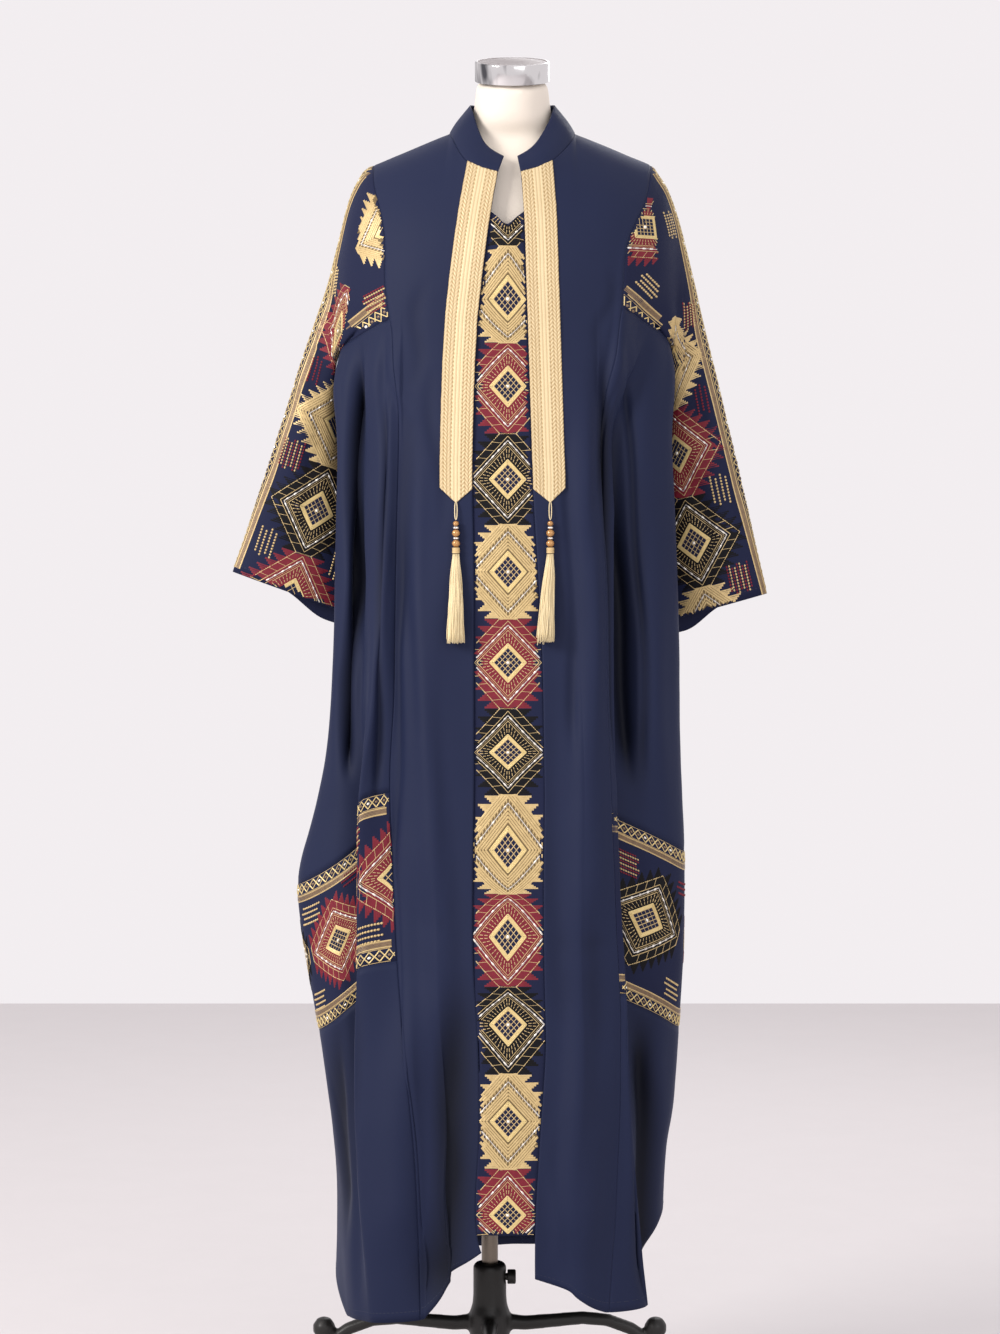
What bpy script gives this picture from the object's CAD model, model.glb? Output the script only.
# %% [markdown]
# # An open-front abaya on a dress form
#
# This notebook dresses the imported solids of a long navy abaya: the crepe with its folds, the
# gold diamonds in thread and sequins, two braid bands with tassels, and the dress form on its
# cast-iron stand. All sizes are metres. The front faces -Y and +X is the wearer's left.

# %% Load the frame
import math
import random

import bmesh
import bpy
import numpy as np
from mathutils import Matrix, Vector, noise
from mathutils.bvhtree import BVHTree
from mathutils.geometry import barycentric_transform


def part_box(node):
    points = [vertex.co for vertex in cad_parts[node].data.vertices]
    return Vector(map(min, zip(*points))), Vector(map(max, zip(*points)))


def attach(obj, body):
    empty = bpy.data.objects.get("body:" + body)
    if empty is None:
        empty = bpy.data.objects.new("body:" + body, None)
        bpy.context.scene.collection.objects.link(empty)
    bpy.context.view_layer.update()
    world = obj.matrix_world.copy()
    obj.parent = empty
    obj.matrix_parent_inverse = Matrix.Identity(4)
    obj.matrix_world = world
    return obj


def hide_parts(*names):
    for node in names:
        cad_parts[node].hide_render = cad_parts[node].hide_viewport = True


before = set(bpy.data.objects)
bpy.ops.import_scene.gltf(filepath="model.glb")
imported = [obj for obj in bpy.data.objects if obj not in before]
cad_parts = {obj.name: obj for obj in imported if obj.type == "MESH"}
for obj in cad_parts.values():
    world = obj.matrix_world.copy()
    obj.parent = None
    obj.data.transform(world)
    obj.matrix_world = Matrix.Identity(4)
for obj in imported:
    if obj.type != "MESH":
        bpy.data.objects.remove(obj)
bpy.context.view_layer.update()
bpy.ops.object.select_all(action="DESELECT")
print("loaded", len(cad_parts), "nodes")

# %% [markdown]
# The photograph was taken from about 3.7 m with a lens of about 78 mm, at hip height, so the
# verticals stay straight. Large soft lamps and a pale room give the even light of a studio.

# %% Camera and light
IMAGE_H = 1334              # the photograph is 1000 pixels wide and 1334 high
FOCAL_PIXELS = 2900         # the lens, in the photograph's pixels
SENSOR = 36                 # mm
EYE = (0, -3.67, 1.08)
EYE_TILT = math.radians(-1.4)
ROOM_COLOUR, ROOM_LIGHT = (0.93, 0.89, 0.91, 1), 0.96


def place_object(name, data):
    """A new object in the scene."""
    ob = bpy.data.objects.new(name, data)
    bpy.context.collection.objects.link(ob)
    return ob


eye_data = bpy.data.cameras.new("eye")
eye_data.sensor_width = SENSOR
eye_data.lens = SENSOR * FOCAL_PIXELS / IMAGE_H
eye = place_object("eye", eye_data)
eye.location = EYE
eye.rotation_euler = (math.pi / 2 + EYE_TILT, 0, 0)
bpy.context.scene.camera = eye


def lamp(name, place, aim, size, power, tint=(1, 1, 1)):
    """A square area lamp that points at a place on the garment."""
    data = bpy.data.lights.new(name, "AREA")
    data.shape = "SQUARE"
    data.size = size
    data.energy = power
    data.color = tint
    ob = place_object(name, data)
    ob.location = place
    ob.rotation_euler = (Vector(aim) - Vector(place)).to_track_quat("-Z", "Y").to_euler()


lamp("key", (-3.1, -2.6, 2.7), (0, 0, 1.0), 1.5, 140, (1.0, 0.975, 0.95))
lamp("fill", (1.4, -3.4, 1.9), (0, 0, 0.9), 2.2, 22, (0.97, 0.98, 1.0))
lamp("rim", (0.8, 2.6, 2.8), (0, 0, 1.2), 1.6, 22)
bpy.context.scene.view_settings.view_transform = "Standard"

world = bpy.data.worlds.new("studio")
world.use_nodes = True
world.node_tree.nodes["Background"].inputs["Color"].default_value = ROOM_COLOUR
world.node_tree.nodes["Background"].inputs["Strength"].default_value = ROOM_LIGHT
bpy.context.scene.world = world
print("camera lens", round(eye_data.lens, 1), "mm")

# %% [markdown]
# Every finish is a small network of nodes. The class below wraps one socket, so that shader
# maths reads as plain arithmetic: `1 - mask` or `noise * 0.3 + 0.5` adds the Math nodes.

# %% Shader maths
MIX_SHARE, MIX_FIRST, MIX_SECOND, MIX_COLOUR = 0, 6, 7, 2     # sockets of a Mix node that mixes colours


class Value:
    """One output socket of a finish: arithmetic on it adds Math nodes."""

    def __init__(self, finish, socket):
        self.finish = finish
        self.socket = socket

    def math(self, operation, *others):
        inputs = dict(enumerate((self, *others)))
        return self.finish.node("ShaderNodeMath", {"operation": operation}, inputs)

    def __add__(self, other):
        return self.math("ADD", other)

    __radd__ = __add__

    def __mul__(self, other):
        return self.math("MULTIPLY", other)

    __rmul__ = __mul__

    def __sub__(self, other):
        return self.math("SUBTRACT", other)

    def __rsub__(self, other):
        return self.finish.node("ShaderNodeMath", {"operation": "SUBTRACT"}, {0: other, 1: self})


class Finish:
    """A Principled material that is built up node by node."""

    def __init__(self, name, **constants):
        self.material = bpy.data.materials.new(name)
        self.material.use_nodes = True
        self.tree = self.material.node_tree
        self.shader = self.tree.nodes["Principled BSDF"]
        for socket, value in constants.items():
            self.shader.inputs[socket.replace("_", " ")].default_value = value

    def node(self, kind, settings=None, inputs=None, output=0):
        """Any node: its settings first, then the values or links of its sockets."""
        made = self.tree.nodes.new(kind)
        for name, value in (settings or {}).items():
            if name == "stops":
                ramp = made.color_ramp
                while len(ramp.elements) < len(value):
                    ramp.elements.new(0.5)
                for element, (place, colour) in zip(ramp.elements, value):
                    element.position = place
                    element.color = colour
            else:
                setattr(made, name, value)
        for key, value in (inputs or {}).items():
            if isinstance(value, Value):
                self.tree.links.new(value.socket, made.inputs[key])
            else:
                made.inputs[key].default_value = value
        return Value(self, made.outputs[output])

    def place(self, stretch=(1, 1, 1)):
        """Coordinates on the piece, in metres times a stretch."""
        where = self.node("ShaderNodeTexCoord", output="Object")
        return self.node("ShaderNodeMapping", {}, {"Vector": where, "Scale": stretch})

    def noise(self, scale, detail=2.0, rough=0.5, stretch=(1, 1, 1)):
        return self.node("ShaderNodeTexNoise", {}, {"Vector": self.place(stretch), "Scale": scale,
                                                     "Detail": detail, "Roughness": rough})

    def wave(self, scale, direction, distortion):
        settings = {"wave_type": "BANDS", "bands_direction": direction}
        inputs = {"Vector": self.place(), "Scale": scale, "Distortion": distortion}
        return self.node("ShaderNodeTexWave", settings, inputs, output="Fac")

    def attribute(self, name):
        """A number kept at the piece's points."""
        return self.node("ShaderNodeAttribute", {"attribute_name": name}, output="Fac")

    def mixed(self, share, first, second):
        inputs = {MIX_SHARE: share, MIX_FIRST: first, MIX_SECOND: second}
        return self.node("ShaderNodeMix", {"data_type": "RGBA"}, inputs, output=MIX_COLOUR)

    def set(self, socket, value):
        self.tree.links.new(value.socket, self.shader.inputs[socket])

    def bump(self, height, strength, distance):
        self.set("Normal", self.node("ShaderNodeBump", {}, {"Strength": strength, "Distance": distance,
                                                             "Height": height}))


print("shader helper ready")

# %% [markdown]
# Crepe is woven from hard-twisted yarn: seen close it is finely pebbled, and it takes light with
# a low, even sheen. Pebbles come from noise at under a millimetre, with a faint twill through it.
# Deep in a pleat little light gets in, so the attribute "fold" darkens the cloth there.

# %% Crepe
DEEP_SHARE = 0.12           # share of the dark colour that is left deep in a fold


def crepe(name, dark, light, rough=0.62):
    """A pebbled cloth, which is darker where its attribute "fold" is high."""
    finish = Finish(name, Sheen_Weight=0.06, Sheen_Roughness=0.4, Sheen_Tint=(0.5, 0.6, 1.0, 1),
                    Specular_IOR_Level=0.16)
    broad = finish.noise(3.0, 3.0)
    pebble = finish.noise(900.0, 2.0, 0.6)
    twill = finish.wave(420.0, "DIAGONAL", 1.5)
    deep = tuple(DEEP_SHARE * v for v in dark[:3]) + (1,)
    open_colour = finish.mixed(broad * 0.55 + pebble * 0.35, dark, light)
    finish.set("Base Color", finish.mixed(finish.attribute("fold"), open_colour, deep))
    finish.set("Roughness", pebble * 0.16 + (rough - 0.08))
    finish.bump(pebble * 0.7 + twill * 0.3, 0.35, 0.0004)
    return finish.material


navy_crepe = crepe("navy crepe", (0.0076, 0.0112, 0.034, 1), (0.0146, 0.0212, 0.061, 1))
ground_cloth = crepe("embroidered ground", (0.006, 0.008, 0.028, 1), (0.013, 0.018, 0.056, 1), 0.7)
print("crepe", navy_crepe.name, ground_cloth.name)

# %% [markdown]
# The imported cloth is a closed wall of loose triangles. Each wall was made from rows of points, and
# its outer side can be read back as such rows: the rim is dropped, the two sides fall apart, and the
# outer one is walked row by row. In each cell the cut runs the same way, so from one row's edges
# the third corners of their triangles are the next row.

# %% Read the rows of a wall
WALL = 0.0015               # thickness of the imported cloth
MERGE = 1e-5                # points closer than this are one point
BODY_MIDDLE = Vector((0.0155, 0.010, 0))


def joined(node):
    """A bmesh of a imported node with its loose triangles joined."""
    bm = bmesh.new()
    bm.from_mesh(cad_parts[node].data)
    bmesh.ops.remove_doubles(bm, verts=bm.verts, dist=MERGE)
    return bm


def outer_side(node):
    """A bmesh of the wall's outer side, without its rim."""
    bm = joined(node)
    rim = [f for f in bm.faces if any(abs(e.calc_length() - WALL) < WALL / 30 for e in f.edges)]
    bmesh.ops.delete(bm, geom=rim, context="FACES_ONLY")
    islands, seen = [], set()
    for start in bm.faces:
        if start in seen:
            continue
        seen.add(start)
        island, stack = [], [start]
        while stack:
            face = stack.pop()
            island.append(face)
            for edge in face.edges:
                for other in edge.link_faces:
                    if other not in seen:
                        seen.add(other)
                        stack.append(other)
        islands.append(island)
    middle = BODY_MIDDLE.copy()
    if node.startswith("sleeve"):
        low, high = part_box(node)
        middle = (Vector(low) + Vector(high)) / 2

    def outward(island):
        total = 0.0
        for face in island:
            away = face.calc_center_median() - middle
            total += Vector((away.x, away.y, 0)).dot(face.normal) * face.calc_area()
        return total

    islands.sort(key=outward)
    gone = [face for island in islands[:-1] for face in island]
    bmesh.ops.delete(bm, geom=gone, context="FACES")
    return bm


def rows_of(node):
    """Rows of points on the outer side, top row first, each from left to right as seen from outside."""
    bm = outer_side(node)
    third = {}
    for face in bm.faces:
        a, b, c = face.verts
        third.update({(a, b): c, (b, c): a, (c, a): b})
    border = {a: b for a, b in third if (b, a) not in third}
    corners = [v for v in border if len(v.link_faces) == 1]
    if corners:
        start = max(corners, key=lambda v: v.co.z)
        row = [start, border[start]]
        while len(row[-1].link_faces) > 2:
            row.append(border[row[-1]])
        row.reverse()
    else:
        loops = []
        left = set(border)
        while left:
            loop = [left.pop()]
            while border[loop[-1]] != loop[0]:
                loop.append(border[loop[-1]])
            left -= set(loop)
            loops.append(loop)
        row = max(loops, key=lambda loop: sum(v.co.z for v in loop) / len(loop))
        row.reverse()
        top = row.index(max(row, key=lambda v: v.co.z))
        row = row[top:] + row[:top]
    rows = []
    closed = not corners
    while row:
        rows.append([v.co.copy() for v in row])
        pairs = list(zip(row, row[1:] + row[:1])) if closed else list(zip(row, row[1:]))
        below = [third.get((right, left)) for left, right in pairs]
        if below[0] is None:
            break
        if closed:
            row = below[-1:] + below[:-1]
        else:
            row = [third[(below[0], row[0])]] + below
    bm.free()
    return rows


CLOTH = ("front_left", "front_right", "back", "side_upper_left", "side_band_left", "side_lower_left",
         "side_upper_right", "side_band_right", "side_lower_right", "sleeve_left", "sleeve_right", "collar")
rows = {name: rows_of(name) for name in (*CLOTH, "centre_insert")}
for name, grid in rows.items():
    print(name, len(grid), "rows of", len(grid[0]))

# %% [markdown]
# A flat cut is needed to lay out stitches, so each piece gets a map in metres: across is the mean
# distance between columns, down is the mean distance between rows. On a sleeve the map is unrolled
# about the fold over the arm, with the front layer on the plus side.

# %% Flat maps in metres
def mean_steps(lines):
    """Running mean distance between neighbouring lines of points."""
    total, out = 0.0, [0.0]
    for one, other in zip(lines, lines[1:]):
        total += sum((a - b).length for a, b in zip(one, other)) / len(one)
        out.append(total)
    return out


def cells_of(flat):
    """The four corner places of every cell of a table of places."""
    return [[(flat[i][j], flat[i + 1][j], flat[i + 1][j + 1], flat[i][j + 1])
             for j in range(len(flat[0]) - 1)] for i in range(len(flat) - 1)]


def flat_map(grid):
    """Across and down as the mean distances between columns and between rows."""
    down = mean_steps(grid)
    across = mean_steps(list(zip(*grid)))
    return cells_of([[(u, -v) for u in across] for v in down])


def sleeve_map(grid):
    """Across from the fold over the arm, one way round and the other, and down along it."""
    along = (grid[-1][0] - grid[0][0]).normalized()
    ahead, behind = [], []
    for row in grid:
        ring = row + row[:1]
        dist = [0.0]
        for a, b in zip(ring, ring[1:]):
            step = b - a
            dist.append(dist[-1] + (step - along * step.dot(along)).length)
        downs = [-(p - grid[0][0]).dot(along) for p in ring]
        ahead.append(list(zip(dist, downs)))
        behind.append([(d - dist[-1], v) for d, v in zip(dist, downs)])
    half = (len(grid[0]) + 1) // 2
    return [a[:half] + b[half:] for a, b in zip(cells_of(ahead), cells_of(behind))]


maps = {name: (sleeve_map if name.startswith("sleeve") else flat_map)(grid) for name, grid in rows.items()}
maps["centre_insert"] = cells_of([[(p.x, p.z) for p in row] for row in rows["centre_insert"]])
print("insert hangs", round(rows["centre_insert"][0][3].z - rows["centre_insert"][-1][3].z, 3), "m")

# %% [markdown]
# The cut pieces meet at seams, so they are smoothed together: one control cage with shared points is
# subdivided, and the cage is pushed out first until the smooth surface runs through its own points.
# Only then is it cut into its pieces again, so that no seam gapes.

# %% Smooth the garment as one skin
SEAM = 0.0007               # points of two pieces closer than this are on their seam
LEVELS = 3
CRISP_SEAM = 0.55           # sharpness of the collar's seam, from 0 to 1
PUSH, PUSHES = 0.85, 3      # share of the distance that the cage is pushed out, and how often


def place_mesh(name, points, faces):
    """A new object in the scene, with a mesh of points and faces."""
    mesh = bpy.data.meshes.new(name)
    mesh.from_pydata(points, [], faces)
    return place_object(name, mesh)


def keep_map(mesh, corners):
    """Keeps the place on the flat map for each corner of each face."""
    mesh.uv_layers.new(name="cut").data.foreach_set("uv", np.array(corners, np.float32).ravel())


def cage_of(names):
    """Points, faces, piece numbers and corner maps of pieces whose seams are closed."""
    points, faces, owners, corners, found = [], [], [], [], {}

    def number(p):
        cell = tuple(math.floor(v / SEAM) for v in p)
        for dx in (-1, 0, 1):
            for dy in (-1, 0, 1):
                for dz in (-1, 0, 1):
                    for k in found.get((cell[0] + dx, cell[1] + dy, cell[2] + dz), ()):
                        if (points[k] - p).length < SEAM:
                            return k
        points.append(p)
        found.setdefault(cell, []).append(len(points) - 1)
        return len(points) - 1

    for owner, name in enumerate(names):
        grid, flat = rows[name], maps[name]
        numbers = [[number(p) for p in row] for row in grid]
        closed = name.startswith("sleeve")
        wide = len(grid[0])
        for i in range(len(grid) - 1):
            for j in range(wide if closed else wide - 1):
                k = (j + 1) % wide
                faces.append((numbers[i][j], numbers[i + 1][j], numbers[i + 1][k], numbers[i][k]))
                owners.append(owner)
                corners.extend(flat[i][j])
    return points, faces, owners, corners


def smooth_skin(name, names, crisp=()):
    """The subdivided skin of some pieces, as one object with a material number for each piece."""
    points, faces, owners, corners = cage_of(names)
    skin = place_mesh(name, points, faces)
    mesh = skin.data
    keep_map(mesh, corners)
    mesh.polygons.foreach_set("material_index", owners)
    for piece in names:
        mesh.materials.append(bpy.data.materials.new(piece + " mark"))
    sides = {}
    for polygon in mesh.polygons:
        for key in polygon.edge_keys:
            sides.setdefault(key, set()).add(names[polygon.material_index])
    crease = mesh.attributes.new("crease_edge", "FLOAT", "EDGE")
    for edge in mesh.edges:
        if any(one in sides[edge.key] and other in sides[edge.key] for one, other in crisp):
            crease.data[edge.index].value = CRISP_SEAM
    modifier = skin.modifiers.new("smooth", "SUBSURF")
    modifier.boundary_smooth = "PRESERVE_CORNERS"
    modifier.levels = modifier.render_levels = 1
    wanted = np.array([tuple(p) for p in points])
    cage = wanted.copy()
    for _ in range(PUSHES):
        mesh.vertices.foreach_set("co", cage.ravel())
        mesh.update()
        dg = bpy.context.evaluated_depsgraph_get()
        dg.update()
        fine = skin.evaluated_get(dg).to_mesh()
        reached = np.empty(len(fine.vertices) * 3)
        fine.vertices.foreach_get("co", reached)
        skin.evaluated_get(dg).to_mesh_clear()
        cage += PUSH * (wanted - reached.reshape(-1, 3)[:len(cage)])
    mesh.vertices.foreach_set("co", cage.ravel())
    mesh.update()
    modifier.levels = modifier.render_levels = LEVELS
    bpy.context.view_layer.objects.active = skin
    bpy.ops.object.modifier_apply(modifier=modifier.name)
    print(name, len(faces), "cells become", len(skin.data.polygons))
    return skin


CRISP = [("collar", "front_left"), ("collar", "front_right"), ("collar", "back")]
garment = smooth_skin("garment", CLOTH, CRISP)
insert_skin = smooth_skin("insert skin", ("centre_insert",))

# %% [markdown]
# Crepe hangs in long soft folds and breaks into short creases where it is pulled: at the bust, under
# the arms, above the hem. Each crease or fold below is a line with its own width and depth. A point
# near the line moves in or out along its normal, less and less towards the line's ends, and how far
# it has moved in is kept for the crepe's colour.

# %% Lines of the creases
MM = 0.001                  # the two tables are in millimetres
# A crease: x and z at the top, x and z at the foot, half width, depth (in is minus).
CREASES = {
    "front": (
        (-122, 1330, -104, 900, 12, -4.5), (-100, 1250, -85, 700, 10, 3), (-85, 1360, -70, 1150, 9, -2),
        (-70, 1050, -50, 420, 12, -2.2), (-118, 800, -80, 260, 14, 3), (-50, 690, -110, 676, 5, -1.2),
        (-92, 1470, -110, 1330, 10, -2), (-135, 1400, -110, 1290, 8, 2), (128, 1410, 118, 1120, 10, -4.5),
        (112, 1330, 108, 760, 11, 3.2), (90, 1300, 94, 900, 9, -2), (66, 1000, 72, 350, 12, -2),
        (120, 760, 100, 260, 13, -2.8), (60, 664, 150, 650, 5, -1.4), (70, 640, 130, 615, 5, 1.2),
        (140, 1480, 122, 1380, 8, -2), (62, 450, 66, 260, 10, 2.4), (-60, 480, -64, 300, 10, -2),
        (-150, 1250, -165, 900, 10, -3), (-180, 1180, -205, 820, 12, 3), (-190, 700, -175, 320, 12, -3),
        (168, 1250, 172, 800, 12, -3), (195, 1180, 205, 700, 13, 2.8), (188, 620, 182, 330, 12, -3),
        (-205, 1500, -232, 1340, 10, -3), (-236, 1420, -262, 1220, 12, 3), (-222, 1300, -268, 1120, 10, -2.6),
        (-262, 1350, -305, 1180, 9, -2.2), (226, 1480, 240, 1340, 10, -3), (250, 1400, 275, 1220, 11, 3),
        (232, 1280, 270, 1120, 10, -2.6), (278, 1330, 312, 1160, 9, -2.2),
    ),
    "back": (
        (-120, 1450, -100, 1100, 12, -4), (-60, 1400, -55, 850, 13, 3.5), (10, 1500, 5, 1050, 12, -3),
        (80, 1420, 85, 900, 13, 3.5), (140, 1450, 125, 1080, 11, -4), (-110, 950, -130, 350, 14, 3.5),
        (-30, 900, -40, 280, 13, -3), (50, 820, 62, 300, 13, -3), (120, 900, 145, 360, 14, 3.5),
        (-80, 1600, 60, 1590, 8, -1.5), (-165, 1100, -175, 600, 12, -3), (175, 1120, 185, 560, 12, -3),
        (-235, 1430, -270, 1200, 11, -3), (-265, 1300, -295, 1130, 10, 2.5), (250, 1430, 275, 1220, 11, -3),
        (275, 1320, 305, 1130, 10, 2.5),
    ),
}
# A long fold: places down its line (x, z), half width, depth.
FOLDS = {
    "front": (
        (((-172, 1420), (-178, 1300), (-180, 1100), (-189, 970), (-190, 840)), 8, -25),
        (((-160, 1300), (-160, 1050), (-164, 850)), 9, 4),
        (((-207, 590), (-202, 450), (-200, 260)), 12, -12),
        (((-106, 640), (-116, 450), (-124, 250)), 32, 16),
        (((-88, 1150), (-94, 900), (-100, 680)), 30, 6),
        (((-52, 640), (-64, 440), (-74, 180)), 28, -14),
        (((-138, 1440), (-141, 1300), (-148, 1080), (-150, 800)), 5, -6.5),
        (((-126, 1180), (-122, 960), (-132, 700)), 6, -4.5),
        (((122, 1400), (138, 1200), (148, 1000), (158, 830)), 16, -12),
        (((126, 1360), (138, 1200), (150, 1000), (161, 830)), 6, -6),
        (((100, 1400), (108, 1150), (118, 850), (112, 650)), 22, 8),
        (((170, 600), (181, 450), (189, 190)), 13, -17),
        (((146, 1440), (156, 1300), (176, 1060), (182, 830)), 5.5, -6),
        (((80, 1320), (86, 1120), (92, 860)), 7, -4),
        (((92, 600), (97, 400), (104, 250)), 34, 9),
    ),
    "back": (
        (((-110, 1330), (-104, 1100), (-118, 800)), 14, 7),
        (((-60, 1250), (-66, 900), (-58, 450)), 20, 8.5),
        (((12, 1420), (20, 1150), (14, 760)), 16, 6),
        (((82, 1300), (90, 1000), (80, 620)), 18, 8.5),
        (((128, 780), (136, 640), (130, 420)), 12, -6),
        (((-138, 820), (-146, 560), (-142, 240)), 12, -8),
        (((-16, 820), (-28, 500), (-22, 180)), 22, -7.5),
        (((50, 700), (58, 450), (66, 180)), 20, 9),
        (((104, 560), (112, 380), (118, 180)), 15, -8),
    ),
}
RIPPLE = 0.0007             # height of the faint unevenness all over
FOLD_DARK = 0.014           # a fold this deep is as dark inside as one gets
DARKEST = 0.85
SEAM_DEEP = 0.0005          # the seams lie this far in
# The sides stand out a little under the arms, where the sleeves press on them: x, z, reach, height.
UNDERARMS = ((-0.2, 1.345, 0.050, 0.0095), (0.2, 1.362, 0.058, 0.0118))
BODY_HALF = 0.23            # beyond this from the middle is sleeve
print("creases and folds:", {side: len(CREASES[side]) + len(FOLDS[side]) for side in CREASES})

# %% [markdown]
# Each line is a smooth bump or dent on the skin, so many of them can be added up before the points
# are moved once. A crease on the front must not reach the back, so it works only on points that face
# its own way. Where pieces meet, the skin is sunk a little, and the seam shows as a fine groove.

# %% Move the skin
FADE_TOP, FADE_FOOT = 0.15, 0.09    # a long fold comes in and goes out over these lengths
CREASE_BEND, FOLD_WANDER = 0.006, 0.0025    # how far a crease and a long fold stray from their lines
SIDE_FROM = 0.12            # nearer the middle than this, nothing stands out under an arm


def crease_move(x, z, line):
    """How far points move in one crease, which bends a little and fades out at both ends."""
    x0, z0, x1, z1, half, depth = (v * MM for v in line)
    dx, dz = x1 - x0, z1 - z0
    length = math.hypot(dx, dz)
    along = ((x - x0) * dx + (z - z0) * dz) / length ** 2
    bend = CREASE_BEND * np.sin(along * 7.0 + 40 * x0)
    off = ((x - x0) * dz - (z - z0) * dx) / length + bend
    return depth * np.sin(np.pi * np.clip(along, 0, 1)) ** 0.8 * np.exp(-(off / half) ** 2)


def fold_move(x, z, line, half, depth):
    """How far points move in one long fold, which wanders a little about its line."""
    xs, zs = np.array(line[::-1]).T * MM
    middle = np.interp(z, zs, xs) + FOLD_WANDER * np.sin(z * 23 + 90 * xs[0])
    fade = np.clip((z - zs[0]) / FADE_FOOT, 0, 1) * np.clip((zs[-1] - z) / FADE_TOP, 0, 1)
    fade = fade * fade * (3 - 2 * fade)
    return depth * MM * fade * np.exp(-((x - middle) / (half * MM)) ** 2)


def keep_numbers(mesh, name, numbers):
    """Keeps a number for each point of a mesh."""
    mesh.attributes.new(name, "FLOAT", "POINT").data.foreach_set("value", numbers)


def crease(skin):
    """Moves the skin's points along their normals by the creases, the folds and a faint ripple."""
    mesh = skin.data
    count = len(mesh.vertices)
    place, lean = np.empty(count * 3), np.empty(count * 3)
    mesh.vertices.foreach_get("co", place)
    mesh.vertices.foreach_get("normal", lean)
    place, lean = place.reshape(-1, 3), lean.reshape(-1, 3)
    x, z = place[:, 0], place[:, 2]
    move = np.zeros(count)
    for side, way in (("front", -1), ("back", 1)):
        facing = way * lean[:, 1]
        for line in CREASES[side]:
            move += crease_move(x, z, line) * np.clip(facing * 2.0 - 0.3, 0, 1)
        for line, half, depth in FOLDS[side]:
            move += fold_move(x, z, line, half, depth) * np.clip(facing * 3.0, 0, 1)
    for at_x, at_z, reach, height in UNDERARMS:
        out = np.sign(at_x)
        side = np.clip(lean[:, 0] * out * 1.5 - 0.3, 0, 1) * (x * out > SIDE_FROM) * (np.abs(x) < BODY_HALF)
        move += height * side * np.exp(-((z - at_z) / reach) ** 2)
    keep_numbers(mesh, "fold", np.clip(-move / FOLD_DARK, 0, 1) * DARKEST)
    move += RIPPLE * np.array([noise.noise(Vector(p) * 11.0) + 0.5 * noise.noise(Vector(p) * 29.0)
                               for p in place])
    owners = {}
    for polygon in mesh.polygons:
        for v in polygon.vertices:
            owners.setdefault(v, set()).add(polygon.material_index)
    for v, found in owners.items():
        if len(found) > 1:
            move[v] -= SEAM_DEEP
    place += lean * move[:, None]
    mesh.vertices.foreach_set("co", place.ravel())
    mesh.update()
    print(skin.name, "creased by", round(1000 * float(np.abs(move).max()), 1), "mm at most")


crease(garment)

# %% [markdown]
# Stitches will be drawn flat and laid on the draped cloth, so each piece keeps its fine outer side
# together with its flat map: for a place on the map it finds the triangle there, and through it the
# place and the outward direction on the cloth.

# %% A fine surface and its flat map
FRONTAL = -0.3              # the three normals of a triangle that is seen from the front add up to less in y


class Surface:
    """A piece's fine outer side, which can be asked for the place over any point of its flat map."""

    def __init__(self, points, triangles, flat, normals=None):
        self.points = points
        self.triangles = triangles
        self.flat = flat
        cells = [(3 * k, 3 * k + 1, 3 * k + 2) for k in range(len(flat))]
        self.tree = BVHTree.FromPolygons([Vector(spot) for tri in flat for spot in tri], cells)
        if normals is None:
            normals = [Vector() for _ in points]
            for a, b, c in triangles:
                normal = (points[b] - points[a]).cross(points[c] - points[a])
                for k in (a, b, c):
                    normals[k] += normal
            normals = [n.normalized() for n in normals]
        self.normals = normals

    def at(self, u, v):
        """Place and outward normal over a point of the map, or None off the piece."""
        hit, _, k, _ = self.tree.ray_cast(Vector((u, v, 1)), Vector((0, 0, -1)))
        if hit is None:
            return None
        a, b, c = self.triangles[k]
        flat = [Vector(spot) for spot in self.flat[k]]
        place = barycentric_transform(hit, *flat, self.points[a], self.points[b], self.points[c])
        lean = barycentric_transform(hit, *flat, self.normals[a], self.normals[b], self.normals[c])
        return place, lean.normalized()

    def from_front(self):
        """The same piece with its map drawn as it is seen from the front, in x and z."""
        kept = [t for t in self.triangles if sum((self.normals[k] for k in t), Vector()).y < FRONTAL]
        flat = [tuple((self.points[k].x, self.points[k].z, -self.points[k].y) for k in t) for t in kept]
        return Surface(self.points, kept, flat, self.normals)

    def reach(self):
        """Width and length of the map."""
        places = [spot for tri in self.flat for spot in tri]
        return [max(p[k] for p in places) - min(p[k] for p in places) for k in (0, 1)]

    def area(self):
        p = self.points
        return sum((p[b] - p[a]).cross(p[c] - p[a]).length for a, b, c in self.triangles) / 2


print("surfaces ready")

# %% [markdown]
# Now the skin is cut into the maker's pieces. Each gets its own mesh, its map, and a wall of cloth
# by Solidify, which keeps the outer side where it is.

# %% Cut the skin into pieces
CLOTH_THICKNESS = 0.0012
surfaces, pieces = {}, {}


def declare(ob, body, node=None):
    """Says which body a piece rides on, where its finish comes from and which node it stands for."""
    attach(ob, body)
    if node:
        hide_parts(node)


def figure_piece(name, points, faces, material, node=None):
    """A new smooth piece on the figure, at the origin, with its place in its mesh."""
    ob = place_mesh(name, points, faces)
    ob.data.materials.append(material)
    ob.data.shade_smooth()
    declare(ob, "figure", node)
    return ob


def apply(ob, kind, **settings):
    """Adds a modifier to a piece and applies it."""
    modifier = ob.modifiers.new(kind.lower(), kind)
    for name, value in settings.items():
        setattr(modifier, name, value)
    bpy.context.view_layer.objects.active = ob
    bpy.ops.object.modifier_apply(modifier=modifier.name)


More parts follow.
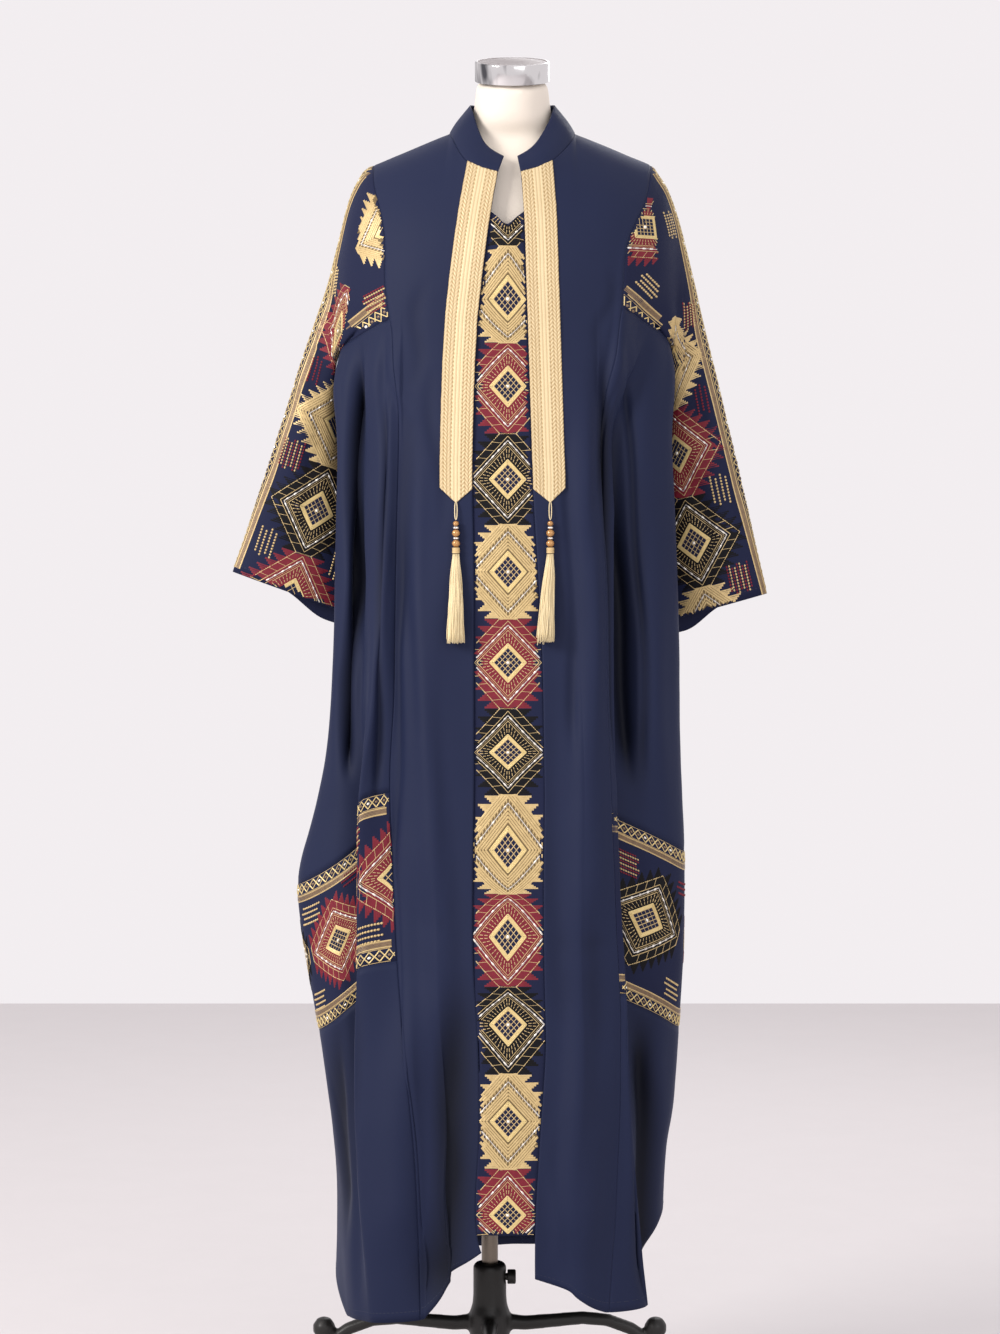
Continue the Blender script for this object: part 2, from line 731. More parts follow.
def cut_pieces(skin, names):
    """Makes each named piece of a skin a piece of cloth."""
    mesh = skin.data
    layer = mesh.uv_layers["cut"].data
    folds = mesh.attributes.get("fold")
    for owner, name in enumerate(names):
        numbers, points, faces, corners, triangles, flat = {}, [], [], [], [], []
        for polygon in mesh.polygons:
            if polygon.material_index != owner:
                continue
            face = []
            for v in polygon.vertices:
                if v not in numbers:
                    numbers[v] = len(points)
                    points.append(mesh.vertices[v].co.copy())
                face.append(numbers[v])
            spots = [tuple(layer[k].uv) for k in polygon.loop_indices]
            faces.append(face)
            corners.extend(spots)
            for a, b, c in ((0, 1, 2), (0, 2, 3)):
                triangles.append((face[a], face[b], face[c]))
                flat.append(tuple((*spots[k], 0.0) for k in (a, b, c)))
        surfaces[name] = Surface(points, triangles, flat)
        embroidered = name.startswith(("side_band", "sleeve", "centre_insert"))
        material, slot = (ground_cloth, "embroidered_cloth") if embroidered else (navy_crepe, "crepe")
        ob = figure_piece(name + "_cloth", points, faces, material, name)
        keep_map(ob.data, corners)
        if folds:
            keep_numbers(ob.data, "fold", [folds.data[v].value for v in numbers])
        apply(ob, "SOLIDIFY", thickness=CLOTH_THICKNESS, offset=-1, use_even_offset=False)
        pieces[name] = ob
        print(name, len(ob.data.polygons), "faces")
    bpy.data.objects.remove(skin)


cut_pieces(garment, CLOTH)

# %% [markdown]
# The insert is joined under the fronts, where they cover its sides. After smoothing and creasing it
# could come through them, so its points there are moved back behind the fronts' inner side.

# %% The insert under the fronts
BEHIND = Vector((0, 0.012, 0))      # the look forwards starts this far behind a place
UNDER = 0.0042              # the insert stays at least this far behind a front's outer side
LOOK = 0.02                 # how far before the insert a front is looked for
fronts = [BVHTree.FromPolygons(surfaces[name].points, surfaces[name].triangles)
          for name in ("front_left", "front_right")]


def front_over(place, reach):
    """The front's outer side within a reach before a place, or a little behind it, or None."""
    for tree in fronts:
        hit, _, _, _ = tree.ray_cast(place + BEHIND, Vector((0, -1, 0)), reach + BEHIND.y)
        if hit is not None:
            return hit
    return None


moved = 0
for vertex in insert_skin.data.vertices:
    over = front_over(vertex.co, LOOK)
    if over is not None and vertex.co.y - over.y < UNDER:
        vertex.co.y = over.y + UNDER
        moved += 1
print("insert points moved back", moved)
cut_pieces(insert_skin, ("centre_insert",))

# %% [markdown]
# The embroidery is thread on the face of the cloth. A stitch is a short rounded ridge, drawn first on
# the flat map and then laid on the folded piece: each of its points asks the surface for its
# place. A chart gathers the stitches of one thread on one piece, and becomes one mesh.

# %% Stitches
SINK = -0.0001              # a stitch's edges lie this far in the cloth
SHORTEST = 1e-5             # a line shorter than this isn't stitched
FULL = (0.2, 0.8)           # a short stitch has its full height between these shares of its length
DOME_TOP = 0.66             # width of a dome's flat top against its foot


def between(start, end, share):
    """The place at a share of the way from one place on the map to another."""
    return tuple(a + (b - a) * share for a, b in zip(start, end))


def distance(start, end):
    """How far apart two places on the map are."""
    return math.hypot(end[0] - start[0], end[1] - start[1])


def beside(place, start, end, off):
    """A place moved off to the left of a line's way."""
    share = off / distance(start, end)
    return (place[0] - (end[1] - start[1]) * share, place[1] + (end[0] - start[0]) * share)


class Chart:
    """Stitches of one thread on one piece."""

    def __init__(self, surface, keep=None):
        self.surface = surface
        self.keep = keep
        self.points, self.faces, self.spots = [], [], []

    def lay(self, flat, heights):
        """Numbers of new points over the map, each at its own height, or None if one is off the piece."""
        placed = []
        for (u, v), height in zip(flat, heights):
            found = None if self.keep and not self.keep(u, v) else self.surface.at(u, v)
            if found is None:
                return None
            placed.append(found[0] + found[1] * height)
        first = len(self.points)
        self.points.extend(placed)
        self.spots.extend(flat)
        return list(range(first, first + len(placed)))

    def run(self, start, end, width, height, step=0.009):
        """A line of thread from one place on the map to another."""
        length = distance(start, end)
        if length < SHORTEST:
            return
        count = max(1, math.ceil(length / step))
        before = None
        for k in range(count + 1):
            middle = between(start, end, k / count)
            sides = [beside(middle, start, end, off) for off in (width / 2, -width / 2)]
            row = self.lay([sides[0], middle, sides[1]], (SINK, height, SINK))
            if before and row:
                for j in (0, 1):
                    self.faces.append((before[j + 1], row[j + 1], row[j], before[j]))
            before = row

    def dash(self, start, end, width, height):
        """One short stitch with sunk ends."""
        if distance(start, end) < SHORTEST:
            return
        flat = [beside(start, start, end, off) for off in (width / 2, -width / 2)]
        flat += [between(start, end, share) for share in FULL]
        flat += [beside(end, start, end, off) for off in (width / 2, -width / 2)]
        row = self.lay(flat, (SINK, SINK, height, height, SINK, SINK))
        if row:
            a, b, c, d, e, f = row
            self.faces.extend([(a, c, d, e), (b, f, d, c), (a, b, c), (f, e, d)])

    def patch(self, corners, height, cells):
        """A filled four-cornered field, cut into cells along both ways."""
        (a, b, c, d) = corners
        wide, tall = cells
        grid = []
        for i in range(tall + 1):
            left, right = between(a, d, i / tall), between(b, c, i / tall)
            grid.append([self.lay([between(left, right, j / wide)], (height,)) for j in range(wide + 1)])
        for i in range(tall):
            for j in range(wide):
                cell = (grid[i][j], grid[i + 1][j], grid[i + 1][j + 1], grid[i][j + 1])
                if all(cell):
                    self.faces.append(tuple(n[0] for n in cell))

    def dot(self, middle, long, wide, height, turn=0.0, sides=6):
        """A small dome, long in the direction of its turn."""
        c, s = math.cos(turn), math.sin(turn)
        places = []
        for share in (1.0, DOME_TOP):
            for k in range(sides):
                x = long * share * math.cos(2 * math.pi * k / sides)
                y = wide * share * math.sin(2 * math.pi * k / sides)
                places.append((middle[0] + x * c - y * s, middle[1] + x * s + y * c))
        row = self.lay(places, (SINK,) * sides + (height,) * sides)
        if row:
            outer, inner = row[:sides], row[sides:]
            for k in range(sides):
                m = (k + 1) % sides
                self.faces.append((outer[k], outer[m], inner[m], inner[k]))
            self.faces.append(tuple(inner))

    def finish(self, name, material, slot="embroidered_cloth"):
        """Makes the stitches one mesh, without points that no face has used."""
        if not self.faces:
            return
        used = sorted({k for face in self.faces for k in face})
        number = {k: n for n, k in enumerate(used)}
        faces = [tuple(number[k] for k in face) for face in self.faces]
        ob = figure_piece(name, [self.points[k] for k in used], faces, material)
        keep_map(ob.data, [self.spots[k] for face in self.faces for k in face])
        print(name, len(faces), "faces")


print("stitch tools ready")

# %% [markdown]
# Metal thread is a strip wound on a core, so it glints in short lengths and is never one flat gold.
# The wine and black threads are silk, with a softer shine. Sequins are small bright cups.

# %% Thread and sequin finishes
def thread(name, dark, light, metallic, rough, gloss=0.5):
    """Thread whose colour goes from dark to light along its strands and over broad areas."""
    finish = Finish(name, Specular_IOR_Level=gloss)
    strand = finish.noise(1500.0, 2.0, 0.6)
    broad = finish.noise(160.0, 2.0)
    finish.set("Base Color", finish.mixed(strand * 0.6 + broad * 0.4, dark, light))
    finish.set("Roughness", strand * 0.25 + (rough - 0.12))
    finish.shader.inputs["Metallic"].default_value = metallic
    finish.bump(strand, 0.6, 0.0003)
    return finish.material


THREADS = {
    "gold": thread("gold thread", (0.29, 0.190, 0.068, 1), (0.86, 0.65, 0.32, 1), 0.3, 0.40),
    "pale": thread("pale gold thread", (0.44, 0.31, 0.105, 1), (0.93, 0.74, 0.36, 1), 0.3, 0.36),
    "dim": thread("shaded gold thread", (0.085, 0.055, 0.022, 1), (0.24, 0.165, 0.070, 1), 0.2, 0.5, 0.3),
    "wine": thread("wine thread", (0.070, 0.004, 0.011, 1), (0.27, 0.019, 0.036, 1), 0.0, 0.55, 0.25),
    "black": thread("black thread", (0.0015, 0.0015, 0.002, 1), (0.007, 0.006, 0.008, 1), 0.0, 0.6, 0.15),
    "bronze": thread("bronze thread", (0.085, 0.050, 0.032, 1), (0.36, 0.25, 0.15, 1), 0.4, 0.4),
    "silver": thread("silver thread", (0.38, 0.34, 0.30, 1), (0.85, 0.81, 0.74, 1), 0.4, 0.3),
    "sequin": thread("white sequin", (0.72, 0.66, 0.56, 1), (1.0, 0.98, 0.92, 1), 0.3, 0.2),
}


def charts_on(surface, keep=None):
    """A chart for each thread."""
    return {kind: Chart(surface, keep) for kind in THREADS}


def sew(charts, label):
    """Makes each chart that has stitches a piece."""
    for kind, chart in charts.items():
        chart.finish(f"{label}_{kind}", THREADS[kind])


print("threads", ", ".join(THREADS))

# %% [markdown]
# The cloth carries one column of large stepped diamonds, a traditional flat-weave figure, in black,
# gold and wine. Everything is drawn in the diamond's own directions, so that it can be turned,
# squeezed or skewed where the cloth is. Its outlines lie at levels, which are shares of the pitch.

# %% A diamond's directions and outlines
PITCH = 0.1114              # from one diamond to the next
NARROW = 0.92               # a diamond's width against its height
LINE, THIN = 0.0014, 0.0010     # widths of a single line of thread
RELIEF, HIGH = 0.0006, 0.0009   # heights of thin and of thick thread


class Motif:
    """A frame of directions on the map: x is across the column of diamonds and y is up it."""

    def __init__(self, charts, middle, turn=0.0, squeeze=(1.0, 1.0), skew=0.0):
        self.charts = charts
        self.middle = middle
        self.turn = turn
        self.c, self.s = math.cos(turn), math.sin(turn)
        self.squeeze = squeeze
        self.skew = skew

    def spot(self, p):
        u, v = p[0] * self.c - p[1] * self.s, p[0] * self.s + p[1] * self.c
        return (self.middle[0] + u * self.squeeze[0] + v * self.skew, self.middle[1] + v * self.squeeze[1])

    def line(self, kind, start, end, width=LINE, height=RELIEF, step=0.009):
        self.charts[kind].run(self.spot(start), self.spot(end), width, height, step)

    def dash(self, kind, start, end, width=LINE, height=RELIEF):
        self.charts[kind].dash(self.spot(start), self.spot(end), width, height)

    def dot(self, kind, place, long, wide, height=0.0010, turn=0.0, sides=6):
        self.charts[kind].dot(self.spot(place), long, wide, height, turn + self.turn, sides)

    def side(self, k, level, share):
        """A place on side k of the diamond at a level, from one corner to the next."""
        x, y = level * PITCH * NARROW, level * PITCH
        corners = ((x, 0), (0, y), (-x, 0), (0, -y))
        return between(corners[k], corners[(k + 1) % 4], share)

    def outline(self, kind, level, width=LINE, height=RELIEF):
        """A closed diamond, cut flat where it would leave its cell."""
        cut = max(0.0, 1 - 0.5 / level)
        for k in range(4):
            start, end = (0.0, 1 - cut) if k % 2 == 0 else (cut, 1.0)
            self.line(kind, self.side(k, level, start), self.side(k, level, end), width, height)
        if cut:
            reach = level * PITCH * NARROW * cut
            for y in (0.5 * PITCH, -0.5 * PITCH):
                self.line(kind, (-reach, y), (reach, y), width, height)


print("diamonds", round(PITCH * 1000, 1), "mm apart")

# %% [markdown]
# From the middle out a diamond has a netted window, a thick frame, a field, a line of long sequins and
# an outer outline. A black or wine one has rays in its field, and its two outlines are joined by level
# rungs; a gold one is filled with close outlines. Teeth of level stitches stand out on both sides.

# %% Diamonds
ORDER = ("black", "gold", "wine")
NET, WINDOW = 0.168, (0.180, 0.199, 0.218)
GROUND, SEQUINS, INNER, OUTER = 0.225, 0.427, 0.474, 0.598
FLAT_FILL = 0.00025         # height of the filled grounds


def ground(motif, kind, parts=5):
    """The filled ring between the window and the outer outline, cut flat at the cell's ends."""
    for k in range(4):
        for part in range(parts):
            start, end = part / parts, (part + 1) / parts
            ring = [motif.side(k, level, share) for level, share in
                    ((OUTER, start), (OUTER, end), (GROUND, end), (GROUND, start))]
            flat = [motif.spot((x, max(min(y, 0.5 * PITCH), -0.5 * PITCH))) for x, y in ring]
            motif.charts[kind].patch(flat, FLAT_FILL, (2, 4))


QUARTERS = [(across, up) for across in (-1, 1) for up in (-1, 1)]
TOOTH = 0.0195              # length of a tooth
TOOTH_STEP = 0.080          # height of a tooth, as a share of the pitch
TOOTH_TOP, TEETH, TOOTH_ROWS = 0.497, 6, 4
TOOTH_IN = 0.001            # a tooth's stitches start this far inside the outline


def teeth(motif, kind):
    """Teeth of level stitches along the outer outline, longest on the side of the cell's end."""
    for across, up in QUARTERS:
        for n in range(TEETH):
            top, foot = TOOTH_TOP - n * TOOTH_STEP, TOOTH_TOP - (n + 1) * TOOTH_STEP
            tip, root = [(OUTER - level) * NARROW * PITCH for level in (top, foot)]
            for row in range(TOOTH_ROWS):
                share = (row + 0.35) / TOOTH_ROWS
                level = top + (foot - top) * (row + 0.5) / TOOTH_ROWS
                base = (OUTER - level) * NARROW * PITCH
                end = (tip + TOOTH) * (1 - share) + root * share
                motif.dash(kind, (across * (base - TOOTH_IN), up * level * PITCH),
                           (across * end, up * level * PITCH), width=0.0027, height=0.0007)


CLOSE_OUTLINES = ((0.266, 0.0032), (0.487, 0.0034))     # inside and outside the sequins: level, width
CLOSE_STEP = 0.036          # from one close outline to the next
UPRIGHT_ROWS, UPRIGHTS, UPRIGHT = (0.398, 0.456), 13, 0.0040    # their levels, how many, how long


def gold_field(motif):
    """Close gold outlines, and two rows of upright stitches beside the sequins."""
    for start, width in CLOSE_OUTLINES:
        for n in range(4):
            motif.outline("gold", start + n * CLOSE_STEP, width, HIGH)
    for k in range(4):
        for n in range(UPRIGHTS):
            for level in UPRIGHT_ROWS:
                x, y = motif.side(k, level, (n + 0.5) / UPRIGHTS)
                motif.dash("gold", (x, y - UPRIGHT / 2), (x, y + UPRIGHT / 2), width=0.0016, height=HIGH)


RAY_ROWS, RAYS = ((0.248, 0.296), (0.304, 0.352)), 10   # levels where rays start and end, how many
RAY_END, FINEST = 0.368, 0.396      # levels of two outlines between the rays and the sequins
RUNGS, FIRST_RUNG, RUNG_STEP = 5, 0.060, 0.085
RUNG_RISE = 0.0012


def ray_field(motif):
    """Two rows of short rays, thin outlines, and level rungs between the inner and outer one."""
    for k in range(4):
        for n in range(RAYS):
            share = (n + 0.5) / RAYS
            for start, end in RAY_ROWS:
                motif.dash("gold", motif.side(k, start, share), motif.side(k, end, share),
                           width=0.0013, height=0.0007)
    for level in (RAY_END, INNER, OUTER):
        motif.outline("gold", level)
    motif.outline("gold", FINEST, width=0.0009, height=0.0005)
    for up, across in QUARTERS:
        for n in range(RUNGS):
            y = (FIRST_RUNG + n * RUNG_STEP) * PITCH
            start, end = [(level * PITCH - y) * NARROW * across for level in (INNER, OUTER)]
            motif.line("gold", (start, y * up), (end, (y + RUNG_RISE) * up), THIN)


NET_LINES = 6               # threads of the window's net, each way
SEQUINS_A_SIDE = 6


def diamond(charts, middle, colour, turn=0.0, squeeze=(1.0, 1.0), skew=0.0):
    """One whole diamond, black, wine or gold."""
    motif = Motif(charts, middle, turn, squeeze, skew)
    ground(motif, "dim" if colour == "gold" else colour)
    for k in range(NET_LINES):
        share = k / (NET_LINES - 1)
        for a, b in ((0, 2), (1, 3)):
            motif.line("gold", motif.side(a, NET, share), motif.side(b, NET, 1 - share), THIN,
                       height=0.0005, step=0.013)
    motif.dot("sequin", (0, 0), long=0.0022, wide=0.0022, height=0.0012, sides=8)
    for level in WINDOW:
        motif.outline("pale", level, width=0.0021, height=HIGH)
    teeth(motif, colour)
    (gold_field if colour == "gold" else ray_field)(motif)
    motif.outline("silver", SEQUINS, width=0.0019)
    for k in range(4):
        lean = math.atan2(1, -NARROW) if k % 2 == 0 else math.atan2(1, NARROW)
        for n in range(0, SEQUINS_A_SIDE, 2 if colour == "gold" else 1):
            bright = (n * 7 + k * 3) % 5 < 3
            place = motif.side(k, SEQUINS, (n + 0.5) / SEQUINS_A_SIDE)
            motif.dot("sequin" if bright else "silver", place, long=0.0034, wide=0.0013, turn=lean)


print("diamond drawn in", len(THREADS), "threads")

# %% [markdown]
# Small bars of beads or knots fill the ground between the diamonds, each second bar set a little
# higher. The cloth ends in a border: crossed threads between two lines, and close metal stripes.

# %% Bars and borders
BAR_GAP, BAR_STEP, BAR_SHIFT = 0.0067, 0.0038, 0.0020
BAR_DOTS = 9
DOT, SMALL_DOT, DOT_DEEP = 0.0016, 0.0013, 0.0017   # half sizes, across a bar and along it
BARS = {
    # bars of each colour, counted from the middle
    "gold": {"gold": (-1.5, -0.5, 0.5, 1.5)},
    "wine": {"wine": (-1, 0, 1)},
    "both": {"gold": (-1.5, -0.5, 0.5, 1.5), "wine": (-2, -1, 0, 1, 2)},
}


def bars(charts, middle, kind, turn=0.0, squeeze=(1.0, 1.0)):
    """The stepped group of dotted bars between two diamonds: gold, wine, or gold between wine."""
    motif = Motif(charts, middle, turn, squeeze)
    for colour, columns in BARS[kind].items():
        for k in columns:
            shift = BAR_SHIFT if int(k * 2) % 4 in (0, 1) else -BAR_SHIFT
            for n in range(BAR_DOTS):
                place = (k * BAR_GAP, (n - BAR_DOTS // 2) * BAR_STEP + shift)
                motif.dot(colour, place, SMALL_DOT if kind == "both" else DOT, DOT_DEEP, height=0.0009)


CHAIN = 0.0170              # depth of the linked border
CHAIN_STEP = 0.0098
CHAIN_EDGE = 0.0014         # from a border line to the ends of the crossed threads
CHAIN_BEAD = 0.0021
STRIPES = ("gold", "bronze", "bronze", "bronze", "gold")
STRIPE_STEP = 0.0019
BORDER_GAP = 0.0030         # from the chain to the stripes


def along(charts, start, end):
    """A motif whose x runs from one place to another, and how far that is."""
    return Motif(charts, start, math.atan2(end[1] - start[1], end[0] - start[0])), distance(start, end)


def chain(charts, start, end, way):
    """Crossed threads between two thin lines, with a small bead in each rhomb."""
    motif, length = along(charts, start, end)
    count = max(1, round(length / CHAIN_STEP))
    step = length / count
    for y in (0.0, CHAIN * way):
        motif.line("gold", (0, y), (length, y), THIN)
    low, high = CHAIN_EDGE * way, (CHAIN - CHAIN_EDGE) * way
    for n in range(count):
        for y0, y1 in ((low, high), (high, low)):
            motif.line("pale", (n * step, y0), ((n + 1) * step, y1), width=0.0016, height=HIGH, step=0.007)
        middle = (n * step, (low + high) / 2)
        motif.dot("sequin" if n % 4 == 1 else "bronze", middle, CHAIN_BEAD, CHAIN_BEAD)


def stripes(charts, start, end, way, offset=CHAIN + BORDER_GAP):
    """Close lines of metal thread beside a border."""
    motif, length = along(charts, start, end)
    for n, kind in enumerate(STRIPES):
        y = way * (offset + n * STRIPE_STEP)
        motif.line(kind, (0, y), (length, y), width=0.0021, height=0.0008, step=0.007)


print("border", round((CHAIN + BORDER_GAP + (len(STRIPES) - 1) * STRIPE_STEP) * 1000, 1), "mm deep")

# %% [markdown]
# The insert hangs under the two fronts, with one diamond of gold, wine or black below the other down
# its middle. Stitches are left out where a front lies tight on it, since they would come through.

# %% The centre insert
FIRST_Z = 1.5560            # height of the black diamond that the neckline cuts
INSERT_X, INSERT_DIAMONDS = 0.0097, 12
ROOM = 0.0060               # stitches end where a front lies closer than this on the insert


def in_the_open(x, z):
    """True where no front lies tight on the insert."""
    found = surfaces["centre_insert"].at(x, z)
    return found is None or front_over(found[0], ROOM) is None


insert_charts = charts_on(surfaces["centre_insert"], in_the_open)
for n in range(INSERT_DIAMONDS):
    diamond(insert_charts, (INSERT_X, FIRST_Z - PITCH * n), ORDER[n % 3])
sew(insert_charts, "insert")

# %% [markdown]
# The side panels carry the same cloth turned on its side, 22 cm high: a chain and a set of metal
# stripes run along the top and the foot, with the diamonds between. In the deep pleat at the wearer's
# right much of the cloth is hidden, so the diamonds there are placed one by one.

# %% The side blocks
SIDE_DIAMONDS = {
    # side: distance from the back seam, colour, squeeze along the strip, skew
    "right": ((0.437, "wine", 1.0, 0.0), (0.274, "wine", 0.85, -0.15), (0.168, "black", 0.9, 0.0),
              (0.062, "gold", 0.9, 0.0)),
    "left": ((0.0857, "black", 1.0, 0.45), (0.2250, "wine", 0.9, 0.1), (0.3250, "gold", 0.9, 0.0)),
}
SIDE_BARS = {
    # side: distance from the back seam, share of the height from the top, kind
    "right": ((0.230, 0.25, "gold"), (0.230, 0.80, "gold"), (0.296, 0.16, "wine"), (0.4015, 0.80, "gold"),
              (0.376, 0.24, "both"), (0.115, 0.25, "both"), (0.115, 0.77, "wine"), (0.340, 0.5, "gold")),
    "left": ((0.0620, 0.245, "both"), (0.1300, 0.79, "gold"), (0.155, 0.24, "wine"), (0.253, 0.26, "gold"),
             (0.253, 0.76, "both"), (0.030, 0.76, "wine")),
}
SIDEWAYS = math.pi / 2
BLOCK_HIGH = 0.223          # height of the cloth that a diamond fits unsqueezed
CHAIN_IN = 0.0012           # the chains lie this far inside the strip
BAR_SQUEEZE = (0.85, 1.0)
for side, places in SIDE_DIAMONDS.items():
    charts = charts_on(surfaces["side_band_" + side])
    wide, tall = surfaces["side_band_" + side].reach()
    for edge, way in ((0, -1), (-tall, 1)):
        chain(charts, (0, edge + way * CHAIN_IN), (wide, edge + way * CHAIN_IN), way)
        stripes(charts, (0, edge), (wide, edge), way)
    for u, colour, squeeze, skew in places:
        diamond(charts, (u, -tall / 2), colour, SIDEWAYS, (squeeze, tall / BLOCK_HIGH), skew)
    for u, share, kind in SIDE_BARS[side]:
        bars(charts, (u, -tall * share), kind, SIDEWAYS, BAR_SQUEEZE)
    sew(charts, "block_" + side)

# %% [markdown]
# On the sleeves the cloth runs down the arm. Its border lies along the fold over the arm, the
# diamonds in a column beside them, and groups of dotted bars fill the gaps. Near the armhole a deep
# crease turns the cloth, so the part between the crease and the seam is drawn as it is seen from
# the front.

# %% The sleeves
COLUMN = 0.086              # from the fold to the column of diamonds
BORDER = (0.012, -0.016)    # the border's outer edge at the shoulder and the cuff, from the fold
ABOVE = 0.02                # the border starts this far above the map, so that it reaches the seam
SLEEVES = {
    # wearer's side: way of the front on the map, colours down the arm, place of the last, crease
    "right": (1, ("wine", "gold", "black", "wine"), -0.5494, 0.031),
    "left": (-1, ("gold", "wine", "black", "gold"), -0.5879, 0.050),
}
SLEEVE_BARS = {
    # wearer's side: from the fold, down the arm, kind
    "right": ((0.034, -0.1595, "gold"), (0.034, -0.2709, "wine"), (0.034, -0.3823, "both"),
              (0.036, -0.4937, "gold"), (0.136, -0.3823, "wine"), (0.136, -0.4937, "gold")),
    "left": ((0.054, -0.0866, "gold"), (0.038, -0.1980, "both"), (0.038, -0.3094, "wine"),
             (0.038, -0.4208, "gold"), (0.038, -0.5323, "both"), (0.136, -0.4208, "wine"),
             (0.136, -0.5323, "gold")),
}
# The crease on the map: distance from the fold at the shoulder, and how it moves away down the arm.
CREASE_SLOPE, CREASE_END = 0.39, 0.225
for side, (front, colours, last, crease_start) in SLEEVES.items():
    surface = surfaces["sleeve_" + side]

    def outside_crease(u, v):
        """True on the outer side of the crease, and on all of the arm below it."""
        return v < -CREASE_END or front * u < crease_start - v * CREASE_SLOPE

    charts = charts_on(surface, outside_crease)
    head = (front * BORDER[0], ABOVE)
    tail = (front * BORDER[1], -surface.reach()[1])
    chain(charts, head, tail, front)
    stripes(charts, head, tail, front)
    for n, colour in enumerate(colours):
        diamond(charts, (front * COLUMN, last + (len(colours) - 1 - n) * PITCH), colour)
    for out, down, kind in SLEEVE_BARS[side]:
        bars(charts, (front * out, down), kind)
    sew(charts, "sleeve_" + side)

# Seen from the front: the crease's top and foot, the diamond's place, colour and turn, the bars' place and
# kind, the border's two ends, and the side of the crease.
ARMHOLES = {
    "right": (((-0.168, 1.600), (-0.193, 1.410)), (-0.1345, 1.5305), "gold", -67, (-0.1530, 1.4440), "both",
              ((-0.1370, 1.4550), (-0.2000, 1.4130)), 1),
    "left": (((0.189, 1.600), (0.203, 1.410)), (0.1790, 1.5350), "wine", 49, (0.1840, 1.4620), "gold",
             ((0.1440, 1.4680), (0.2060, 1.4230)), -1),
}
SMALLER = (0.85, 0.85)      # the arm leans back there, so the pattern looks smaller
CHAIN_UP = 0.0105           # from the stripes to the chain
for side, (fold, middle, colour, turn, group, kind, (top, foot), way) in ARMHOLES.items():
    (x0, z0), (x1, z1) = fold

    def inside_crease(x, z):
        """True between the crease and the armhole seam."""
        line = x0 + (x1 - x0) * (z0 - z) / (z0 - z1)
        return (line - x) * way < 0 and z > z1

    charts = charts_on(surfaces["sleeve_" + side].from_front(), inside_crease)
    diamond(charts, middle, colour, math.radians(turn), SMALLER)
    bars(charts, group, kind, math.radians(turn), SMALLER)
    stripes(charts, top, foot, way, 0.0)
    chain(charts, *(beside(end, top, foot, way * CHAIN_UP) for end in (top, foot)), way)
    sew(charts, "armhole_" + side)

# %% [markdown]
# The hems are turned up and stitched about a centimetre above the edge, in thread of the cloth's
# own colour, so the stitches show only as a fine dented line.

# %% Hem stitches
HEM = 0.010
HEM_STITCH = 0.0048         # from one stitch to the next
SHOWS = (0.15, 0.80)        # a stitch shows between these shares of its step
hem_thread = thread("navy thread", (0.004, 0.006, 0.020, 1), (0.014, 0.020, 0.062, 1), 0.0, 0.6)
for name in ("front_left", "front_right", "back", "side_lower_left", "side_lower_right", "sleeve_left",
             "sleeve_right"):
    chart = Chart(surfaces[name])
    for _, left, right, _ in maps[name][-1]:
        left, right = (left[0], left[1] + HEM), (right[0], right[1] + HEM)
        count = max(1, round(distance(left, right) / HEM_STITCH))
        for n in range(count):
            ends = [between(left, right, (n + share) / count) for share in SHOWS]
            chart.dash(*ends, width=0.0007, height=0.0004)
    chart.finish("hem_" + name, hem_thread, "crepe")

# %% [markdown]
# Two bands of gold braid edge the opening. Braid is knitted in narrow ribs, some smooth and some in
# a herringbone, so its face is drawn as heights over a fine grid. The grid keeps the shape of the
# packed band and always lies just over the cloth.

# %% Braid
BRAID_COLUMNS, BRAID_STEP = 45, 0.00125
BRAID_WIDTH, BRAID_WALL = 0.0405, 0.0012
BRAID_RIBS, RIB_HIGH, KNIT_HIGH = 9, 0.00045, 0.00032
SMOOTH_FROM, SMOOTH_TO, SMOOTH_HIGH = 0.36, 0.64, 0.00020   # the smooth ribs in the middle
KNIT_SLANT, KNIT_STEP = 1.3, 0.0050     # the herringbone's slope, and from one of its lines to the next
BRAID_TOP = RIB_HIGH + KNIT_HIGH


def braid_height(share, down):
    """Height of the braid's face, from the share across and the height on the figure."""
    height = RIB_HIGH * abs(math.sin(share * math.pi * BRAID_RIBS)) ** 0.6
    if SMOOTH_FROM < share < SMOOTH_TO:
        return height + SMOOTH_HIGH
    slant = share * BRAID_WIDTH * (KNIT_SLANT if int(share * BRAID_RIBS) % 2 else -KNIT_SLANT)
    return height + KNIT_HIGH * math.sin((down + slant) * 2 * math.pi / KNIT_STEP)


def ray_front(tree, x, z):
    """The first place of a tree behind x and z as seen from the front, or None."""
    hit = tree.ray_cast(Vector((x, -1, z)), Vector((0, 1, 0)))[0]
    return None if hit is None else hit.y


def braid_finish():
    """Gold braid, lighter where its face is high."""
    finish = Finish("gold braid", Specular_IOR_Level=0.45, Metallic=0.12)
    strand = finish.noise(1300.0, 2.0, 0.6)
    broad = finish.noise(40.0, 2.0)
    shade = finish.attribute("relief") * 0.75 + strand * 0.3 + broad * 0.15 - 0.1
    finish.set("Base Color", finish.mixed(shade, (0.36, 0.235, 0.095, 1), (0.86, 0.70, 0.43, 1)))
    finish.set("Roughness", strand * 0.2 + 0.36)
    finish.bump(strand, 0.5, 0.0003)
    return finish.material


gold_braid = braid_finish()
print("braid's face", round(BRAID_TOP * 1000, 2), "mm high")

# %% [markdown]
# To lay the band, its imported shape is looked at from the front: how wide it is at many heights, and
# how far forward. A grid of points takes these places, is smoothed so that no facet shows, and gets
# the heights of the woven face.

